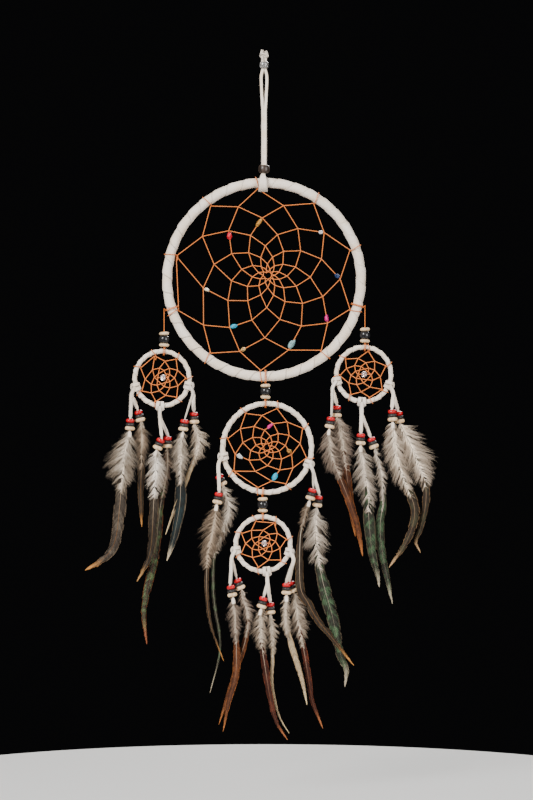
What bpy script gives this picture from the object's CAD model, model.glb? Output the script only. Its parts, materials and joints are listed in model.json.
"""Dream catcher: suede-wrapped hoops, woven nets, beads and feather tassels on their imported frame.

Every piece is in metres in the frame's own axes: X to the right, Y to the back, Z up, with the
origin at the nail in the hanging loop. Sizes in the tables below are in millimetres.
"""

import json
import math
import random

import bmesh
import bpy
from bpy.props import FloatProperty, FloatVectorProperty, IntProperty, PointerProperty
from mathutils import Matrix, Vector, noise


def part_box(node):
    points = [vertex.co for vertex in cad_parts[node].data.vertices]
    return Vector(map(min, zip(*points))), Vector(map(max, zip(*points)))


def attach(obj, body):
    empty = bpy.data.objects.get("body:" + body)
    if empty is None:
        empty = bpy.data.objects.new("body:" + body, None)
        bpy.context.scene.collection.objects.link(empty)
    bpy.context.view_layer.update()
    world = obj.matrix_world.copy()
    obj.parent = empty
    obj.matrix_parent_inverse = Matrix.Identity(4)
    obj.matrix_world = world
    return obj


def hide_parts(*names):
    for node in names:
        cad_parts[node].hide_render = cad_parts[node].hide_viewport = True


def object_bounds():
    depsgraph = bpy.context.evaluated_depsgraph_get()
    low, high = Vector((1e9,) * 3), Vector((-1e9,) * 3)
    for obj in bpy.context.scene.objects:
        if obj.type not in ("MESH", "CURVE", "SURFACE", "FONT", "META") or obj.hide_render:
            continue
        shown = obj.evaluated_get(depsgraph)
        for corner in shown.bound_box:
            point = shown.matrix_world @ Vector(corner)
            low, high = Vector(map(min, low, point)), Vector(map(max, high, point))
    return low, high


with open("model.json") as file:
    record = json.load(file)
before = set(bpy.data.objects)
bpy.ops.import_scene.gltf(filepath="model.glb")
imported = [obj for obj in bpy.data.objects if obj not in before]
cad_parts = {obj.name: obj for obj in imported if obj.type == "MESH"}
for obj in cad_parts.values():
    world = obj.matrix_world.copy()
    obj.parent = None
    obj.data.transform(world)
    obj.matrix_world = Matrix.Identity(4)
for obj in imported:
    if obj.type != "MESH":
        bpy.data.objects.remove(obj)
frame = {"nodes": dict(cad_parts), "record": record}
CAD_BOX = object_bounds()

bl_info = {
    "name": "Dream Catcher",
    "version": (1, 0, 0),
    "blender": (4, 5, 0),
    "location": "3D View > Sidebar > Dream Catcher",
    "description": "Hoops, nets, beads and feathers of a hanging dream catcher",
    "category": "Add Mesh",
}

MM = 0.001
FRONT = Vector((0, -1, 0))
UP = Vector((0, 0, 1))

# ---------------------------------------------------------------------------
# Measures of the design, in millimetres and degrees
# ---------------------------------------------------------------------------

HOOPS = ["big_hoop", "middle_hoop", "left_hoop", "right_hoop", "bottom_hoop"]
LINKED = {"middle_hoop": "big_hoop", "left_hoop": "big_hoop", "right_hoop": "big_hoop",
          "bottom_hoop": "middle_hoop"}

# Nets: angles of the thread's loops over the hoop in the order in which it is woven, the net's
# centre from the hoop's, the rounds, and how far each round is drawn in
NETS = {
    "big_hoop": ([165, 200, 234, 268, 309, 341, 379, 417, 454, 486], (4.5, 4.5), 8.6, 0.88, 0.05),
    "middle_hoop": ([215, 257, 298, 346, 389, 436, 482, 527], (0.5, 0), 7.2, 0.88, 0.05),
    "left_hoop": ([108, 154, 212, 255, 308, 361, 414], (0.5, 0.5), 4.6, 0.82, 0.03),
    "right_hoop": ([-39, -75, -122, -177, -220, -281, -339], (0, 0.5), 4.6, 0.82, 0.03),
    "bottom_hoop": ([62, 108, 154, 204, 259, 318, 372], (1, 0.5), 4.6, 0.82, 0.03),
}

# Gem chips: hoop, knot, length, width, thickness and stone
CHIPS = [
    ("big_hoop", 27, 9, 5, 4, "tiger_eye"), ("big_hoop", 28, 8.5, 6, 4.5, "red_coral"),
    ("big_hoop", 16, 5, 4, 3.5, "milky_quartz"), ("big_hoop", 15, 6, 5, 4, "navy_lapis"),
    ("big_hoop", 20, 6, 4, 3.5, "cream_shell"), ("big_hoop", 21, 7, 4.5, 4, "turquoise"),
    ("big_hoop", 12, 5.5, 5.5, 4, "ochre_jasper"), ("big_hoop", 13, 11, 7.5, 5, "pale_aqua"),
    ("big_hoop", 14, 7.5, 5.5, 4, "magenta_howlite"),
    ("middle_hoop", 20, 7, 4, 3.5, "magenta_howlite"), ("middle_hoop", 15, 7.5, 6.5, 4.5, "grey_agate"),
    ("middle_hoop", 18, 6, 5.5, 4, "tiger_eye"), ("middle_hoop", 9, 9, 6.5, 4.5, "turquoise"),
]

# Tassels: name, hoop, angle of the tie, then the front and the back strand as (across from the tie
# to its red bead, drop to it, lean over the beads), then their feathers as (colouring, fluff half
# width, share that is fluff, blade half width, route as across and drop from the last bead)
TASSELS = [
    ("left_hoop_left", "left_hoop", 198, (-5.6, 33, -0.3), (2, 25, 2.4),
     ("ash", 12.5, 0.4, 5.5, [(-6, 26), (-10, 76), (-15, 111), (-27, 128), (-43, 138)]),
     ("umber", 6.5, 0.45, 3, [(1.5, 17), (1, 48), (0.5, 70), (1.5, 104)])),
    ("left_hoop_bottom", "left_hoop", 266, (0.5, 34, -3.6), (7.3, 32, -0.5),
     ("puff", 9.5, 0.35, 4.5, [(-2, 22), (-4, 56), (-6, 92), (-10, 110), (-20, 130)]),
     ("rust_green", 4.6, 0.3, 4.3, [(0, 25), (-7, 60), (-12, 105), (-22, 154), (-22, 176), (-20, 193)])),
    ("left_hoop_right", "left_hoop", 345, (-3.6, 35, -1.4), (5.4, 28, 0.4),
     ("teal", 8.5, 0.4, 5, [(-3, 21), (-3, 67), (-7, 94), (-10, 108), (-16, 128)]),
     ("straw", 8, 0.35, 2, [(4, 19), (0, 37), (-7, 55), (-18, 82), (-28, 110)])),
    ("right_hoop_left", "right_hoop", 194, (-6.3, 37, -1.4), (-0.3, 26, 0),
     ("rust", 9.5, 0.38, 3.6, [(1, 26), (9, 47), (17, 67), (24, 87), (29, 107), (32, 126)]),
     ("rust", 9, 0.45, 3.4, [(5, 24), (8, 46), (13, 83), (18, 118)])),
    ("right_hoop_bottom", "right_hoop", 266, (-1, 33, -0.2), (9.5, 37, 3.2),
     ("green", 9.3, 0.5, 4.8, [(3, 27), (7, 49), (8, 74), (11, 105), (16, 128), (18, 140)]),
     ("green", 4.8, 0.4, 4, [(7, 28), (9, 52), (6, 77), (8, 103), (13, 128), (18, 153)])),
    ("right_hoop_right", "right_hoop", 337, (3.2, 26, 0.4), (9.7, 28, 1.4),
     ("bronze", 10.5, 0.5, 4, [(4, 36), (12, 61), (21, 84), (20, 102), (12, 122), (-3, 144)]),
     ("bronze", 13, 0.5, 3.4, [(17, 38), (25, 62), (25, 83), (20, 105), (16, 118), (20, 128)])),
    ("middle_hoop_left", "middle_hoop", 191, (-4.7, 37, -1.6), (-4.1, 20, 3.7),
     ("umber", 10, 0.4, 1.8,
      [(-4, 24), (-9, 49), (-10.5, 71), (-10, 96), (-6, 122), (6, 155)]),
     ("green", 7, 0.35, 1.6,
      [(6, 24), (1, 44), (-8, 72), (-9, 100), (-7, 122), (-3, 145), (-3, 168), (-12, 204)])),
    ("middle_hoop_right", "middle_hoop", 339, (3.8, 26, -2.5), (9.9, 33, -1.6),
     ("umber", 3.6, 0.2, 3.6,
      [(-6, 20), (-10, 40), (-10, 85), (-2, 103), (7, 119), (20, 135), (42, 163)]),
     ("green", 10, 0.35, 5.5, [(-2, 27), (4, 69), (15, 110), (22, 144), (28, 161), (27, 177)])),
    ("bottom_hoop_left", "bottom_hoop", 193, (-5.4, 36, 1.7), (1.1, 30, 3.7),
     ("rust", 6, 0.35, 3.2, [(3, 27), (4, 58), (3, 79), (-4, 106), (-9, 133)]),
     ("rust", 5.5, 0.35, 2.6, [(7, 28), (5, 50), (-2, 73), (-10, 98), (-21, 133)])),
    ("bottom_hoop_bottom", "bottom_hoop", 278, (-3.4, 27, -2), (3.4, 33, 0.3),
     ("mahogany", 7, 0.35, 3, [(-1, 28), (3, 57), (6, 76), (11, 103), (17, 118), (25, 130)]),
     ("straw", 5, 0.35, 1.6, [(1.5, 24), (2, 46), (1, 68), (5, 90), (10, 105), (18, 118)])),
    ("bottom_hoop_right", "bottom_hoop", 343, (-2.6, 32, 0), (1.6, 31, 2.8),
     ("straw", 4.6, 0.4, 2.6, [(-1, 26), (4, 48), (11, 71), (16, 89), (20, 109)]),
     ("mahogany", 8, 0.4, 2.8, [(6, 33), (11, 60), (15, 84), (19, 108), (29, 134)])),
]

# Bead diameters and heights, and the places of the beads on their laces
RED_D, RED_H = 8.3, 3.9
BLACK_D, BLACK_H = 8.5, 3.4
NATURAL_D, NATURAL_H = 9.7, 3.8
ROUND_D, ROUND_H = 10.2, 7.4
DISC_H = 3.6
BEAD_GAP = 0.1
STRAND_Y = 3.6
FEATHER_Y = 3
QUILL_Y = 1.6
LACE_D = 2.4
STACK_H = RED_H / 2 + BLACK_H + NATURAL_H / 2 + 2 * BEAD_GAP
LEAN_DROP = 9

# Feathers: what each part is marked with for the finish, and where the vane begins in the fluff
DOWN, VANE, SHAFT = 0.0, 1.0, 2.0
VANE_START = 0.45

# The hanger's left strand, across and height from the nail
KNOT_Z = 14.5
HANGER_ROUTE = [(-1.3, 14.5), (-1.3, 6), (-1.3, 1.5), (-2.7, -5), (-2.6, -14), (-2, -26), (-1.3, -40),
                (-1.3, -56), (-1.3, -74), (-1.3, -95.7), (-1.3, -99.7)]


# ---------------------------------------------------------------------------
# Node trees
# ---------------------------------------------------------------------------

def rgba(colour):
    """A colour at full opacity. A colour that comes by wire stays as it is."""
    return colour if isinstance(colour, Wire) else (*colour, 1.0)


class Wire:
    """An output socket of a node tree that takes part in Python sums."""

    def __init__(self, graph, socket):
        self.graph = graph
        self.socket = socket

    def _sum(self, operation, other, swap=False):
        pair = (other, self) if swap else (self, other)
        if self._is_vector(self) or self._is_vector(other):
            return self.graph.add("ShaderNodeVectorMath", {"operation": operation},
                                  {0: self._widen(pair[0]), 1: self._widen(pair[1])})["Vector"]
        return self.graph.add("ShaderNodeMath", {"operation": operation},
                              {0: pair[0], 1: pair[1]})["Value"]

    @staticmethod
    def _is_vector(value):
        return isinstance(value, Wire) and value.socket.type == "VECTOR"

    def _widen(self, value):
        """A number as a vector of three equal parts."""
        if isinstance(value, (int, float)):
            return (value, value, value)
        if isinstance(value, Wire) and value.socket.type == "VALUE":
            return self.graph.combine(value, value, value)
        return value

    def __add__(self, other):
        return self._sum("ADD", other)

    def __radd__(self, other):
        return self._sum("ADD", other, True)

    def __sub__(self, other):
        return self._sum("SUBTRACT", other)

    def __rsub__(self, other):
        return self._sum("SUBTRACT", other, True)

    def __mul__(self, other):
        return self._sum("MULTIPLY", other)

    def __rmul__(self, other):
        return self._sum("MULTIPLY", other, True)

    def __truediv__(self, other):
        return self._sum("DIVIDE", other)

    def __rtruediv__(self, other):
        return self._sum("DIVIDE", other, True)

    def __pow__(self, other):
        return self._sum("POWER", other)


class Outputs:
    """A node's outputs as wires, by name or by place."""

    def __init__(self, graph, made):
        self.graph = graph
        self.made = made

    def __getitem__(self, key):
        return Wire(self.graph, self.made.outputs[key])


class Graph:
    """A node tree under construction: add() makes any node, and wires do the sums."""

    def __init__(self, tree):
        self.tree = tree

    def add(self, kind, settings, sockets):
        made = self.tree.nodes.new(kind)
        for name, value in settings.items():
            setattr(made, name, value)
        self.fill(made, sockets)
        return Outputs(self, made)

    def fill(self, made, sockets):
        """Gives a node's inputs their wires or their plain values."""
        for key, value in sockets.items():
            if isinstance(value, Wire):
                self.tree.links.new(value.socket, made.inputs[key])
            else:
                made.inputs[key].default_value = value

    def function(self, operation, *values):
        return self.add("ShaderNodeMath", {"operation": operation}, dict(enumerate(values)))["Value"]

    def combine(self, x=0.0, y=0.0, z=0.0):
        return self.add("ShaderNodeCombineXYZ", {}, {0: x, 1: y, 2: z})["Vector"]

    def axes(self, vector):
        """The three parts of a vector, as outputs X, Y and Z."""
        return self.add("ShaderNodeSeparateXYZ", {}, {0: vector})

    def span(self, value, low, high, smooth=True):
        """How far the value is on its way from low to high, as a share from 0 to 1."""
        kind = "SMOOTHSTEP" if smooth else "LINEAR"
        return self.add("ShaderNodeMapRange", {"interpolation_type": kind},
                        {0: value, 1: low, 2: high, 3: 0.0, 4: 1.0})["Result"]

    def scaled(self, vector, amount):
        return self.add("ShaderNodeVectorMath", {"operation": "SCALE"},
                        {0: vector, "Scale": amount})["Vector"]


class LookGraph(Graph):
    """The node tree of a material with one Principled shader."""

    def __init__(self, name):
        self.material = bpy.data.materials.new(name)
        self.material.use_nodes = True
        super().__init__(self.material.node_tree)
        self.shader = self.tree.nodes["Principled BSDF"]

    def place(self):
        return self.add("ShaderNodeTexCoord", {}, {})["Object"]

    def attribute(self, name):
        return self.add("ShaderNodeAttribute", {"attribute_name": name}, {})["Fac"]

    def grain(self, scale, detail=3.0, stretch=(1, 1, 1), distortion=0.0):
        """Noise with features 1 / scale metres wide, drawn out along an axis by stretch."""
        at = self.add("ShaderNodeMapping", {}, {"Vector": self.place(), "Scale": stretch})
        return self.add("ShaderNodeTexNoise", {}, {"Vector": at["Vector"], "Scale": scale, "Detail": detail,
                                                   "Distortion": distortion})["Fac"]

    def mix(self, share, first, second):
        return self.add("ShaderNodeMix", {"data_type": "RGBA"},
                        {0: share, 6: rgba(first), 7: rgba(second)})[2]

    def finish(self, values, bump=None, bump_depth=0.0, bump_strength=1.0):
        self.fill(self.shader, values)
        if bump is not None:
            normal = self.add("ShaderNodeBump", {}, {"Height": bump, "Strength": bump_strength,
                                                     "Distance": bump_depth})["Normal"]
            self.fill(self.shader, {"Normal": normal})
        return self.material


class ShapeGraph(Graph):
    """A Geometry Nodes tree with named inputs that takes lines and gives a solid mesh."""

    SOCKETS = {float: "NodeSocketFloat", int: "NodeSocketInt", tuple: "NodeSocketVector",
               None: "NodeSocketMaterial"}

    def __init__(self, name, inputs):
        super().__init__(bpy.data.node_groups.new(name, "GeometryNodeTree"))
        face = self.tree.interface
        face.new_socket("Lines", in_out="INPUT", socket_type="NodeSocketGeometry")
        for label, default in inputs.items():
            kind = self.SOCKETS[None if default is None else type(default)]
            socket = face.new_socket(label, in_out="INPUT", socket_type=kind)
            if default is not None:
                socket.default_value = default
        face.new_socket("Solid", in_out="OUTPUT", socket_type="NodeSocketGeometry")
        self.given = self.add("NodeGroupInput", {}, {})

    def stored(self, name, kind="FLOAT"):
        return self.add("GeometryNodeInputNamedAttribute", {"data_type": kind}, {"Name": name})["Attribute"]

    def store(self, geometry, name, value, kind="FLOAT", domain="POINT"):
        return self.add("GeometryNodeStoreNamedAttribute", {"data_type": kind, "domain": domain},
                        {"Geometry": geometry, "Name": name, "Value": value})["Geometry"]

    def cross(self, first, second):
        return self.add("ShaderNodeVectorMath", {"operation": "CROSS_PRODUCT"},
                        {0: first, 1: second})["Vector"]

    def chance(self, low, high, seed):
        return self.add("FunctionNodeRandomValue", {"data_type": "FLOAT"}, {2: low, 3: high, "Seed": seed})[1]

    def place(self):
        return self.add("GeometryNodeInputPosition", {}, {})["Position"]

    def cloud(self, at, scale, detail):
        return self.add("ShaderNodeTexNoise", {}, {"Vector": at, "Scale": scale, "Detail": detail})

    def ripple(self, scale, detail):
        """A small random amount, a different one at each place."""
        return self.cloud(self.place(), scale, detail)["Color"] - 0.5

    def curves(self):
        """The given lines as curves."""
        return self.add("GeometryNodeMeshToCurve", {}, {"Mesh": self.given["Lines"]})["Curve"]

    def circle(self, sides, radius):
        return self.add("GeometryNodeCurvePrimitiveCircle", {}, {"Resolution": sides,
                                                                 "Radius": radius})["Curve"]

    def sweep(self, curve, outline, scale=1.0, caps=True):
        """The outline drawn along the curve."""
        return self.add("GeometryNodeCurveToMesh", {}, {"Curve": curve, "Profile Curve": outline,
                                                        "Scale": scale, "Fill Caps": caps})["Mesh"]

    def moved(self, geometry, way, value):
        """The geometry with each point moved by an Offset or put at a Position."""
        return self.add("GeometryNodeSetPosition", {}, {"Geometry": geometry, way: value})["Geometry"]

    def instances(self, points, shape, rotation, size=(1.0, 1.0, 1.0)):
        return self.add("GeometryNodeInstanceOnPoints", {}, {
            "Points": points, "Instance": shape, "Rotation": rotation, "Scale": size})["Instances"]

    def join(self, *parts):
        made = self.tree.nodes.new("GeometryNodeJoinGeometry")
        for part in parts:
            self.tree.links.new(part.socket, made.inputs[0])
        return Wire(self, made.outputs[0])

    def finish(self, geometry):
        solid = self.add("GeometryNodeRealizeInstances", {}, {"Geometry": geometry})["Geometry"]
        solid = self.add("GeometryNodeSetMaterial", {},
                         {"Geometry": solid, "Material": self.given["Material"]})
        end = self.tree.nodes.new("NodeGroupOutput")
        self.tree.links.new(solid["Geometry"].socket, end.inputs[0])
        return self.tree


def strip_tree():
    """A flat suede strip along each line, with ragged cut edges. The lines hold facing and swell."""
    g = ShapeGraph("Suede strip", {"Width": 0.003, "Thickness": 0.001, "Ragged": 0.0003, "Material": None})
    tear_scale, soft_scale = 620, 150
    edge_tear, edge_power = 4, 3
    width = g.given["Width"]
    ragged = g.given["Ragged"]
    curve = g.add("GeometryNodeSetCurveNormal", {"mode": "FREE"},
                  {"Curve": g.curves(), "Normal": g.stored("facing", "FLOAT_VECTOR")})["Curve"]
    outline = g.add("GeometryNodeCurvePrimitiveQuadrilateral", {},
                    {"Width": g.given["Thickness"], "Height": width})["Curve"]
    outline = g.add("GeometryNodeSubdivideCurve", {}, {"Curve": outline, "Cuts": 3})["Curve"]
    outline = g.store(outline, "edge", g.function("ABSOLUTE", g.axes(g.place())["Y"] / width * 2))
    solid = g.sweep(curve, outline, g.stored("swell"))
    push = (g.scaled(g.ripple(tear_scale, 3.0), ragged * edge_tear * g.stored("edge") ** edge_power)
            + g.scaled(g.ripple(soft_scale, 1.0), ragged))
    return g.finish(g.moved(solid, "Offset", push))


def thread_tree():
    """Three-ply waxed thread along each line."""
    g = ShapeGraph("Twisted thread", {"Diameter": 0.0009, "Turn Length": 0.004, "Step": 0.0009,
                                      "Material": None})
    plies, sides_to_a_ply = 3, 3
    waist, swell = 0.92, 0.1
    curve = g.add("GeometryNodeResampleCurve", {"mode": "LENGTH"},
                  {"Curve": g.curves(), "Length": g.given["Step"]})["Curve"]
    run = g.add("GeometryNodeSplineParameter", {}, {})["Length"]
    curve = g.add("GeometryNodeSetCurveTilt", {},
                  {"Curve": curve, "Tilt": run / g.given["Turn Length"] * math.tau})["Curve"]
    index = g.add("GeometryNodeInputIndex", {}, {})["Index"]
    lobe = g.function("COSINE", index * (math.tau / sides_to_a_ply))
    outline = g.store(g.circle(plies * sides_to_a_ply, g.given["Diameter"] / 2), "lobe", lobe)
    outline = g.moved(outline, "Position", g.scaled(g.place(), waist + lobe * swell))
    return g.finish(g.sweep(curve, outline))


def hitch_tree():
    """A small tight coil of thread at each point of the lines, where the net is knotted."""
    g = ShapeGraph("Net hitch", {"Diameter": 0.0009, "Material": None})
    diameter = g.given["Diameter"]
    coil_share, strand_share = 0.62, 0.42
    ring = g.sweep(g.circle(8, diameter * coil_share), g.circle(5, diameter * strand_share), caps=False)
    turn = g.add("FunctionNodeAxesToRotation", {}, {0: g.stored("facing", "FLOAT_VECTOR"), 1: (0, 1, 0)})
    return g.finish(g.instances(g.given["Lines"], ring, turn["Rotation"]))


def wrap_tree():
    """A suede strip wound round a hoop's tube, following its surface, each turn lapped over the last."""
    g = ShapeGraph("Wound suede", {
        "Centre": (0.0, 0.0, 0.0), "Ring Radius": 0.09, "Tube Radius": 0.005, "Turns": 38,
        "Thickness": 0.0006, "Lap": 1.22, "Ragged": 0.0003, "Start": 0.0, "Material": None})
    steps_in_turn, section_sides = 36, 16
    squareness = 0.4
    edge_tear, edge_power = 7, 8
    sideways_drift, inward_drift = 0.9, 0.5
    press, face_roughness = 0.35, 0.0003
    turns = g.given["Turns"]
    thick = g.given["Thickness"]
    ring = g.given["Ring Radius"]
    grid = g.add("GeometryNodeMeshGrid", {}, {
        "Size X": 1.0, "Size Y": 1.0, "Vertices X": turns * steps_in_turn + 1,
        "Vertices Y": section_sides + 1})["Mesh"]
    cell = g.axes(g.place())
    run = (cell["X"] + 0.5) * math.tau
    section = (cell["Y"] + 0.5) * math.tau

    def squared(value):
        return g.function("SIGN", value) * g.function("ABSOLUTE", value) ** squareness

    def round_ring(angle):
        return g.combine(g.function("COSINE", angle), 0.0, g.function("SINE", angle))

    across = squared(g.function("COSINE", section))
    lift = squared(g.function("SINE", section))
    at = g.scaled(round_ring(run), ring) + g.given["Centre"]
    drift = g.cloud(at, 70.0, 1.0)["Fac"] - 0.5
    turn = run * turns + g.given["Start"]
    tube = g.combine(g.function("COSINE", turn), g.function("SINE", turn), across * 0.3)
    fine = g.cloud(at * 14.0 + tube, 3.2, 4.0)["Fac"] - 0.5

    # How far along the hoop each point of the strip lies, then how far it stands from the tube's middle
    width = math.pi / turns * g.given["Lap"]
    torn = fine * g.function("ABSOLUTE", across) ** edge_power * g.given["Ragged"] * edge_tear / ring
    angle = run + across * width + drift * sideways_drift * width + torn
    depth = thick * (1.0 + (0.5 - 0.5 * across)) - lift * thick * 0.5 - thick * 0.5
    radius = (g.given["Tube Radius"] - depth - thick * press + drift * thick * inward_drift
              + fine * face_roughness)
    reach = ring + radius * g.function("COSINE", turn)
    front = g.combine(0.0, radius * g.function("SINE", turn) * -1)
    place = g.given["Centre"] + g.scaled(round_ring(angle), reach) + front
    grid = g.store(grid, "edge", g.function("MAXIMUM", across, 0.0))
    grid = g.add("GeometryNodeMergeByDistance", {}, {"Geometry": g.moved(grid, "Position", place),
                                                     "Distance": 0.000001})["Geometry"]
    return g.finish(grid)


def barbs_on(g, shaft, barb, count, direction, length, breadth, depth, strand):
    """Barbs that stand on the shaft, each with its length, its tipward way and a number of its own."""
    points = g.add("GeometryNodeCurveToPoints", {}, {"Curve": shaft, "Count": count})
    along = g.stored("along")
    facing = g.stored("facing", "FLOAT_VECTOR")
    reach = length(along)
    turn = g.add("FunctionNodeAxesToRotation", {"primary_axis": "Z", "secondary_axis": "X"},
                 {0: direction(points["Tangent"], facing, along), 1: facing})["Rotation"]
    marked = g.store(points["Points"], "tipward", points["Tangent"], "FLOAT_VECTOR")
    marked = g.store(marked, "reach", reach)
    marked = g.store(marked, "strand", strand)
    return g.instances(marked, barb, turn, g.combine(depth, breadth, reach))


def barb_mesh(g, sides, segments, tip, kind):
    """One barb of unit length along Z, tapered to its tip, marked with its kind and its own length share."""
    solid = g.add("GeometryNodeMeshCone", {}, {"Vertices": sides, "Side Segments": segments,
                                               "Radius Top": tip, "Radius Bottom": 0.5, "Depth": 1.0})["Mesh"]
    return g.store(g.store(solid, "across", g.axes(g.place())["Z"]), "kind", kind)


def feather_tree():
    """A feather on each line: a tapered shaft, a vane of barbs on both sides and loose down."""
    g = ShapeGraph("Feather", {
        "Blade Half Width": 0.004, "Fluff Half Width": 0.009, "Fluff Share": 0.4, "Barbs": 240, "Downs": 700,
        "Barb Width": 0.0006, "Down Width": 0.00016, "Shaft Radius": 0.0006, "Seed": 1, "Material": None})
    share = g.given["Fluff Share"]
    seed = g.given["Seed"]
    factor = g.add("GeometryNodeSplineParameter", {}, {})["Factor"]
    shaft = g.store(g.curves(), "along", factor)

    def part_of_shaft(start, end):
        return g.add("GeometryNodeTrimCurve", {"mode": "FACTOR"}, {0: shaft, 2: start, 3: end})["Curve"]

    def outward(lateral, tangent, lean):
        """A way that leans from straight out to the side towards the tip."""
        return g.scaled(lateral, g.function("COSINE", lean)) + g.scaled(tangent, g.function("SINE", lean))

    # Vane: barbs that lean more towards the tip, with a few splits
    widest = 0.35
    root_lean, tip_lean, split_lean = 0.62, 0.5, 0.16
    vane_start = share * VANE_START
    blade = part_of_shaft(vane_start, 1.0)
    vane_barb = barb_mesh(g, 4, 4, 0.16, VANE)

    def vane_length(along):
        run = g.span(along, vane_start, 1.0, smooth=False)
        rise = g.function("SINE", g.function("MINIMUM", run / widest, 1.0) * (math.pi / 2))
        fall = g.function("MAXIMUM", (run - widest) / (1 - widest), 0.0)
        width = rise * (1.03 - fall * fall) ** 0.75
        return width * g.given["Blade Half Width"] * 1.7 * (0.93 + 0.07 * g.chance(0.0, 1.0, 7))

    vanes = []
    for side in (1, -1):
        def vane_way(tangent, facing, along, side=side):
            lateral = g.scaled(g.cross(tangent, facing), side)
            gap = g.cloud(g.place() + (0.0, side * 0.1, 0.0), 160.0, 1.0)["Fac"]
            lean = root_lean + tip_lean * along + (g.span(gap, 0.52, 0.6) - 0.5) * split_lean
            return outward(lateral, tangent, lean) + g.scaled(facing, 0.12)

        width = g.given["Barb Width"]
        vanes.append(barbs_on(g, blade, vane_barb, g.given["Barbs"], vane_way, vane_length,
                              width, width * 0.22, g.chance(0.0, 1.0, seed)))

    # Down: fine curling barbs all round the lower shaft, in tufts that share a lean, a lift and a length
    tufts, side_shift = 150.0, 0.25
    fluff = part_of_shaft(0.0, share)
    down_barb = barb_mesh(g, 3, 4, 0.1, DOWN)
    side = g.function("SIGN", g.chance(-1.0, 1.0, seed + 11))
    tuft = g.function("FLOOR", g.stored("along") * tufts + side * side_shift)
    shared = g.axes(g.add("ShaderNodeTexWhiteNoise", {}, {"Vector": g.combine(tuft, side, seed)})["Color"])

    def down_way(tangent, facing, along):
        lift = g.chance(-0.3, 0.3, seed + 12) + (shared["Y"] - 0.5) * 1.3
        lean = g.chance(-0.12, 0.12, seed + 13) + 0.3 + shared["X"] * 0.85
        lateral = g.scaled(g.cross(tangent, facing), side * g.function("COSINE", lift))
        return outward(lateral + g.scaled(facing, g.function("SINE", lift) * 0.75), tangent, lean)

    def down_length(along):
        run = along / share
        swell = 0.4 + 0.6 * g.function("SINE", g.function("MINIMUM", run, 1.0) ** 0.6 * math.pi)
        thin = 1.0 - 0.4 * run ** 3
        chance = g.chance(0.5, 1.0, seed + 14) * (0.78 + 0.44 * shared["Z"])
        return swell * thin * g.given["Fluff Half Width"] * 1.6 * chance

    downs = barbs_on(g, fluff, down_barb, g.given["Downs"], down_way, down_length,
                     g.given["Down Width"], g.given["Down Width"],
                     shared["Y"] * 0.75 + g.chance(0.0, 0.25, seed + 15))

    # All barbs bow towards the tip. Vane barbs cup as well, and down curls.
    barbs = g.add("GeometryNodeRealizeInstances", {}, {"Geometry": g.join(*vanes, downs)})["Geometry"]
    across = g.stored("across")
    kind = g.stored("kind")
    bow = g.stored("reach") * across * across
    bend = g.scaled(g.stored("tipward", "FLOAT_VECTOR"), bow * 0.28)
    cup = g.scaled(g.stored("facing", "FLOAT_VECTOR"), bow * kind * -0.22)
    curl = g.scaled(g.ripple(95, 2.0), across * (1 - kind) * 0.011)
    fray = g.scaled(g.ripple(700, 1.0), across * across * 0.0009)
    barbs = g.moved(barbs, "Offset", bend + cup + curl + fray)

    taper = g.given["Shaft Radius"] * (1.0 - 0.82 * g.stored("along"))
    spine = g.store(g.sweep(shaft, g.circle(6, 1.0), taper), "kind", SHAFT)
    return g.finish(g.join(barbs, spine))


# ---------------------------------------------------------------------------
# Lines, solids and pieces
# ---------------------------------------------------------------------------

def smooth(points, steps):
    """The smooth curve through the points, with a number of steps from each to the next."""
    ends = [2 * points[0] - points[1]] + points + [2 * points[-1] - points[-2]]
    made = []
    for a, b, c, d in zip(ends, ends[1:], ends[2:], ends[3:]):
        for k in range(steps):
            t = k / steps
            made.append(0.5 * (2 * b + (c - a) * t + (2 * a - 5 * b + 4 * c - d) * t * t
                               + (3 * b - a - 3 * c + d) * t ** 3))
    return made + [points[-1]]


def run_length(points):
    return sum((b - a).length for a, b in zip(points, points[1:]))


def mm(x, y, z):
    return Vector((x, y, z)) * MM


class Lines:
    """Open or closed lines with the way each point faces and how wide the strip is there."""

    def __init__(self):
        self.points = []
        self.pairs = []
        self.facings = []
        self.swells = []

    def add(self, points, facings=None, swells=None, closed=False):
        first = len(self.points)
        count = len(points)
        self.points += points
        self.facings += facings or [FRONT] * count
        self.swells += swells or [1.0] * count
        self.pairs += [(first + i, first + i + 1) for i in range(count - 1)]
        if closed:
            self.pairs.append((first + count - 1, first))
        return self

    def mesh(self, name):
        mesh = bpy.data.meshes.new(name)
        mesh.from_pydata([tuple(p) for p in self.points], self.pairs, [])
        facing = mesh.attributes.new("facing", "FLOAT_VECTOR", "POINT")
        facing.data.foreach_set("vector", [c for f in self.facings for c in f])
        swell = mesh.attributes.new("swell", "FLOAT", "POINT")
        swell.data.foreach_set("value", self.swells)
        return mesh


def added(name, data):
    """A new object in the scene."""
    made = bpy.data.objects.new(name, data)
    bpy.context.scene.collection.objects.link(made)
    return made


def as_mesh(shape, name, material):
    """The bmesh as a mesh of one material. The bmesh is used up."""
    mesh = bpy.data.meshes.new(name)
    shape.to_mesh(mesh)
    shape.free()
    mesh.materials.append(material)
    return mesh


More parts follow.
